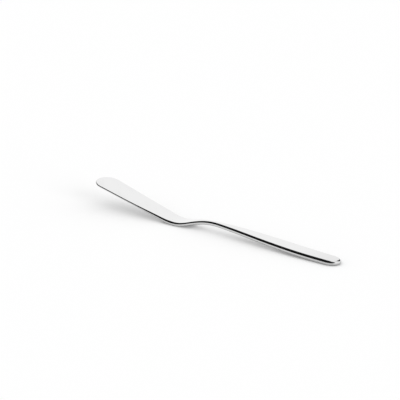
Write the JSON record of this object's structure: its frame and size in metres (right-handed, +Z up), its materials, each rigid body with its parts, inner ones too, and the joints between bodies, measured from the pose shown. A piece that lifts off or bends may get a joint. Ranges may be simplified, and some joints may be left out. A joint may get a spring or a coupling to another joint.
{
  "type": "butter knife",
  "caption": "Butter knife with a flat paddle blade rising from its heel, an arched narrow neck and a slim flat handle that lies on the table.",
  "frame": {"origin": "on the table, under the middle of the knife's length and width, as it lies", "axes": "+Z up from the table, +X along the knife from the tip of the blade to the end of the handle, +Y across it"},
  "size_m": [0.17, 0.0164, 0.0154],
  "materials": {
    "blade_steel": "mirror polished stainless steel with fine wiping marks",
    "neck_steel": "mirror polished stainless steel",
    "handle_steel": "mirror polished stainless steel with fine handling marks"
  },
  "bodies": {
    "root": {"blade": "blade_steel", "neck": "neck_steel", "handle": "handle_steel"}
  },
  "joints": []
}
